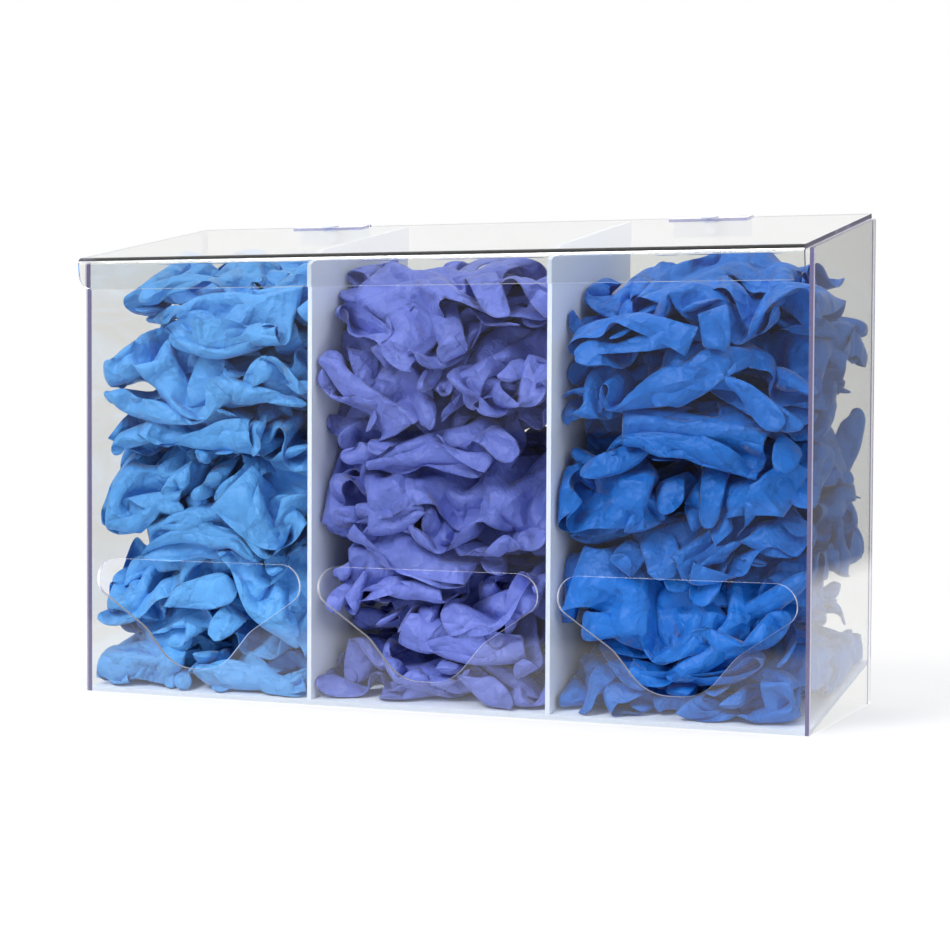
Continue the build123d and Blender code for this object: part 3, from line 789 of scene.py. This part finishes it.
def layHand(mesh, heap, index, part, heading, thumbSide):
    # A glove puffed up in its share of its solid's height: the start of the creasing.
    place = heaps[heap][index][0]
    parts = len(layering["whole" if place == "whole" else "half"])
    middle, half = spaceOf(heap, place)
    turn = math.radians(heading)
    spread = place == "whole"
    lying = mesh["spread" if spread else "narrow"]
    angle = lyingHand["spreadThumbAngle" if spread else "narrowThumbAngle"]
    lean = 0.3 * lyingHand["thumbLength"] * math.sin(math.radians(angle))
    across = (lying[:, 0] - lean) * thumbSide + layering["shift"] * math.sin(3.1 * index + 2.2 * part)
    along = lying[:, 1] + layering["shift"] * math.cos(1.7 * index + 2.9 * part)
    x = across * math.cos(turn) - along * math.sin(turn)
    y = -across * math.sin(turn) - along * math.cos(turn)
    x = softLimit(x, half[0]) + middle[0]
    y = softLimit(y, half[1]) + middle[1]
    triangles = nodeTriangles(f"{heap}_glove_{index + 1}")
    normal = np.cross(triangles[:, 1] - triangles[:, 0], triangles[:, 2] - triangles[:, 0])
    flatness = normal[:, 2] / np.maximum(np.linalg.norm(normal, axis=1), 1e-9)
    spots = np.stack([x, y], -1)
    up = heightOn(triangles[flatness > 0.005], spots)
    down = heightOn(triangles[flatness < -0.005], spots)
    height = np.maximum(up - down, 3.0) / parts
    z = (up + down) / 2 + height * (part - (parts - 1) / 2 + mesh["side"] * layering["puff"])
    return np.stack([x, y, z], -1)


creasing = {
    "steps": 120,
    "sweeps": 3,
    "growSteps": 80,
    "start": 0.80,            # rest lengths start at this share of the flat glove's
    "folds": ((110, 12.0), (70, 8.0), (45, 5.0)),     # wave length and height, millimetres
    "bendShare": 0.96,         # how straight a bend wants to be
    "bendPull": 0.14,
    "thickness": 4.0,         # least distance between two films, in millimetres
    "fall": 0.02,             # millimetres a step, each step
    "drag": 0.82,
    "stepLimit": 1.1,
    "skinShift": 0.8,         # radians between the folds of a glove's two skins
    "sideways": 0.8,          # share of the folds' height that goes sideways
    "twinReach": 1.6,         # points this many thicknesses apart in the flat glove are neighbours
    "skinGap": 2.2,           # least distance between a glove's two skins
    "pushShare": 0.45,
    "wallGap": 0.7,
    "frontGap": 1.0,
    "floorGap": 0.8,
    "lidGap": 3.0,            # millimetres kept free under the lid
    "cap": (18.0, 18.0, 20.0),    # how far a point may go from its solid
    "seed": 7,
}


cellCrowd = 8     # most points of one cell that are looked at


def closePairs(points, reach):
    # Index pairs of points nearer than reach, found by sorting them into cells.
    cell = np.floor((points - points.min(axis=0)) / reach).astype(np.int64) + 1
    size = cell.max(axis=0) + 2
    key = cell[:, 0] + size[0] * (cell[:, 1] + size[1] * cell[:, 2])
    order = np.argsort(key, kind="stable")
    sortedKey = key[order]
    steps = [
        dx + size[0] * (dy + size[1] * dz)
        for dx in (-1, 0, 1)
        for dy in (-1, 0, 1)
        for dz in (-1, 0, 1)
        if (dz, dy, dx) > (0, 0, 0)
    ]
    firsts, seconds = [], []
    count = len(key)
    places = np.arange(count)
    lastOf = np.searchsorted(sortedKey, sortedKey, side="right")
    for extra in range(1, cellCrowd):     # in the same cell
        mate = places + extra
        good = mate < lastOf
        if not good.any():
            break
        firsts.append(places[good])
        seconds.append(mate[good])
    for step in steps:
        low = np.searchsorted(sortedKey, sortedKey + step, side="left")
        high = np.searchsorted(sortedKey, sortedKey + step, side="right")
        for extra in range(cellCrowd):
            mate = low + extra
            good = mate < high
            if not good.any():
                break
            firsts.append(places[good])
            seconds.append(mate[good])
    first = order[np.concatenate(firsts)]
    second = order[np.concatenate(seconds)]
    return first, second


def creaseGloves(mesh, laid, heapOf):
    # Lets every glove grow back to its flat size between its neighbours and the walls, so that
    # it creases: moved points, pulled along each pair to its rest length, then kept apart.
    c = creasing
    rng = np.random.default_rng(c["seed"])
    count, gloves = laid.shape[:2]
    flat = mesh["flat"]
    groups = []
    for pairs, bend in ((mesh["pairs"], False), (mesh["bends"], True)):
        rest = np.linalg.norm(flat[pairs[:, 0]] - flat[pairs[:, 1]], axis=1)
        for group in colourPairs(pairs, count):
            length = rest[group][:, None, None].astype(np.float32)
            groups.append((pairs[group, 0], pairs[group, 1], length, bend))
    start = laid.astype(np.float32)
    waves = np.zeros_like(start)
    for length, height in c["folds"]:
        for axis in range(3):
            way = rng.normal(size=(1, gloves, 2))
            way /= np.linalg.norm(way, axis=2, keepdims=True)
            phase = rng.uniform(0, 2 * math.pi, size=(1, gloves))
            along = (flat[:, None, :] * way).sum(axis=2) * 2 * math.pi / length + phase
            shift = mesh["side"][:, None] * c["skinShift"]
            share = 1.0 if axis == 2 else c["sideways"]
            waves[..., axis] += height * np.sin(along + shift) * share
    points = start + waves
    last = points.copy()
    walls = np.array([insideOf(h) for h in heapOf])
    xLow = (walls[:, 0] + c["wallGap"]).astype(np.float32)
    xHigh = (walls[:, 1] - c["wallGap"]).astype(np.float32)
    yLow = np.float32(walls[0, 2] + c["frontGap"])
    yHigh = np.float32(walls[0, 3] - c["wallGap"])
    floorPoints = nodeTriangles("sloped_floor").reshape(-1, 3)
    floorBack = floorPoints[:, 2].max()
    floorFront = sheetThick / math.cos(math.radians(sheetSlope))
    sidePoints = nodeTriangles("left_side_panel").reshape(-1, 3)
    lidFront = sidePoints[sidePoints[:, 1] < yLow + 2, 2].max()
    lidBack = sidePoints[sidePoints[:, 1] > yHigh - 2, 2].max()
    cap = np.array(c["cap"], dtype=np.float32)
    flatIndex = np.arange(count * gloves)
    gloveOf = flatIndex % gloves
    vertexOf = flatIndex // gloves
    thick = c["thickness"]
    for step in range(c["steps"]):
        grow = c["start"] + (1 - c["start"]) * min(1, step / c["growSteps"])
        move = (points - last) * c["drag"]
        move[..., 2] -= c["fall"]
        np.clip(move, -c["stepLimit"], c["stepLimit"], out=move)
        last = points.copy()
        points = points + move
        for sweep in range(c["sweeps"]):
            for a, b, rest, bend in groups:
                d = points[a] - points[b]
                length = np.sqrt((d * d).sum(axis=2, keepdims=True)) + 1e-6
                if bend:
                    want = rest * (grow * c["bendShare"])
                    pull = np.where(length < want, c["bendPull"], 0) * (1 - want / length)
                else:
                    pull = 1 - rest * grow / length
                d *= 0.5 * pull
                points[a] -= d
                points[b] += d
        spread = points.reshape(-1, 3)
        first, second = closePairs(spread, thick)
        d = spread[first] - spread[second]
        length = np.sqrt((d * d).sum(axis=1))
        near = length < thick
        sameGlove = gloveOf[first] == gloveOf[second]
        flatGap = np.linalg.norm(flat[vertexOf[first]] - flat[vertexOf[second]], axis=1)
        twin = sameGlove & (flatGap < thick * c["twinReach"])
        limit = np.where(twin, 0.0, thick)
        opposite = twin & (mesh["side"][vertexOf[first]] * mesh["side"][vertexOf[second]] < 0)
        limit = np.where(opposite, c["skinGap"], limit)
        near = length < limit
        first, second, d, length, limit = first[near], second[near], d[near], length[near], limit[near]
        push = d * (c["pushShare"] * (limit - length) / np.maximum(length, 0.05))[:, None]
        for axis in range(3):
            spread[:, axis] += np.bincount(first, push[:, axis], len(spread)).astype(np.float32)
            spread[:, axis] -= np.bincount(second, push[:, axis], len(spread)).astype(np.float32)
        points = spread.reshape(points.shape)
        points = start + np.clip(points - start, -cap, cap)
        points[..., 0] = np.clip(points[..., 0], xLow[None], xHigh[None])
        points[..., 1] = np.clip(points[..., 1], yLow, yHigh)
        deep = yHigh + c["wallGap"] - yLow + c["frontGap"]
        floorZ = floorFront + (points[..., 1] - (yLow - c["frontGap"])) * (floorBack - floorFront) / deep
        lidZ = lidFront + (points[..., 1] - yLow) * (lidBack - lidFront) / (yHigh - yLow)
        points[..., 2] = np.clip(points[..., 2], floorZ + c["floorGap"], lidZ - c["lidGap"])
    a, b = mesh["pairs"][:, 0], mesh["pairs"][:, 1]
    rest = np.linalg.norm(flat[a] - flat[b], axis=1)
    ratio = np.linalg.norm(points[a] - points[b], axis=2).mean(axis=1) / rest
    report(f"film lengths {ratio.mean():.3f} of flat, spread {ratio.std():.3f}")
    return points


def smoothGloves(mesh, points, rounds=1, share=0.35):
    # Each point moves part of the way to the mean of its neighbours, then back a little less.
    a, b = mesh["pairs"][:, 0], mesh["pairs"][:, 1]
    count = len(points)
    degree = np.bincount(np.concatenate([a, b]), minlength=count)[:, None, None]
    for index in range(rounds):
        for amount in (share, -share * 0.9):
            total = np.zeros_like(points)
            np.add.at(total, a, points[b])
            np.add.at(total, b, points[a])
            points = points + amount * (total / degree - points)
    return points


def makeGloves(materials):
    mesh = handMesh()
    solids = [(heap, index) for heap in compartment["names"] for index in range(len(heaps[heap]))]
    lain = [(heap, index, *glove) for heap, index in solids for glove in glovesOf(heap, index)]
    laid = np.stack([layHand(mesh, *glove) for glove in lain], axis=1)
    report(f"laid {len(lain)} gloves of {len(mesh['flat'])} points")
    points = creaseGloves(mesh, laid, [glove[0] for glove in lain])
    report("creased the gloves")
    points = smoothGloves(mesh, points)
    report("smoothed the gloves")
    count = len(mesh["flat"])
    for heap, index in solids:
        node = f"{heap}_glove_{index + 1}"
        mine = [i for i, glove in enumerate(lain) if glove[:2] == (heap, index)]
        quads = [
            (mesh["quads"][:, ::-1] if lain[i][4] > 0 else mesh["quads"]) + count * number
            for number, i in enumerate(mine)
        ]
        corners = np.concatenate([points[:, i] for i in mine]) / 1000
        obj = makeMesh(f"{node}_film", corners, np.concatenate(quads).tolist(), materials[heap])
        layer = obj.data.uv_layers.new(name="film")
        loops = np.empty(len(obj.data.loops), dtype=int)
        obj.data.loops.foreach_get("vertex_index", loops)
        uv = mesh["flat"][loops % count] / 100 + (loops // count)[:, None] * 3.7
        layer.data.foreach_set("uv", uv.ravel())
        subdivide = obj.modifiers.new("round", "SUBSURF")
        subdivide.levels = 1
        subdivide.render_levels = 1
        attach(obj, "box")
        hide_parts(node)


def dressNodes():
    slope = math.radians(sheetSlope)
    violet = (clearLook["violetEdge"], clearLook["violetRoughness"], clearLook["violetGlow"])
    pale = (clearLook["paleEdge"], clearLook["paleRoughness"], clearLook["paleGlow"])
    lidAcross = (0, -math.sin(slope), math.cos(slope))
    white = whiteSheetMaterial()
    hinges = [
        clearSheetMaterial(f"{name} hinge leaf", across, *violet, clarity=clearLook["mouldedClarity"])
        for name, across in (("lid", lidAcross), ("back", (0, 1, 0)))
    ]
    rivets = plainMaterial("rivet", rivetLook)
    pins = plainMaterial("hinge pin", pinLook)
    worn = {
        "front_panel": clearSheetMaterial("clear front", (0, 1, 0), *pale),
        "back_panel": clearSheetMaterial("clear back", (0, 1, 0), *violet),
        "left_side_panel": clearSheetMaterial("clear left side", (1, 0, 0), *violet),
        "right_side_panel": clearSheetMaterial("clear right side", (1, 0, 0), *violet),
        "lid": clearSheetMaterial("clear lid", (1, 0, 0), *violet, lengthwise=True),
        "sloped_floor": white,
        "left_divider": white,
        "right_divider": white,
    }
    for side in ("left", "right"):
        worn[f"lid_leaf_{side}"] = hinges[0]
        worn[f"back_leaf_{side}"] = hinges[1]
        worn[f"lid_rivet_{side}"] = worn[f"back_rivet_{side}"] = rivets
        worn[f"hinge_pin_{side}"] = pins
    for name, obj in nodes.items():
        if "glove" not in name:
            for slot in obj.material_slots:
                slot.material = worn[name]


sheetSlope = 9.9     # degrees, of the lid and of the floor
sheetThick = (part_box("front_panel")[1][1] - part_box("front_panel")[0][1]) * 1000
bpy.context.scene.view_settings.view_transform = "Standard"
makeCamera()
makeStage()
makeLamps()
makeCutEdgeGroup()
makeGrainGroup()
makeCreaseGroup()
dressNodes()
report("camera, floor, lamps and sheets")
gloveMaterials = {heap: gloveMaterial(heap) for heap in compartment["names"]}
makeGloves(gloveMaterials)
report("gloves")
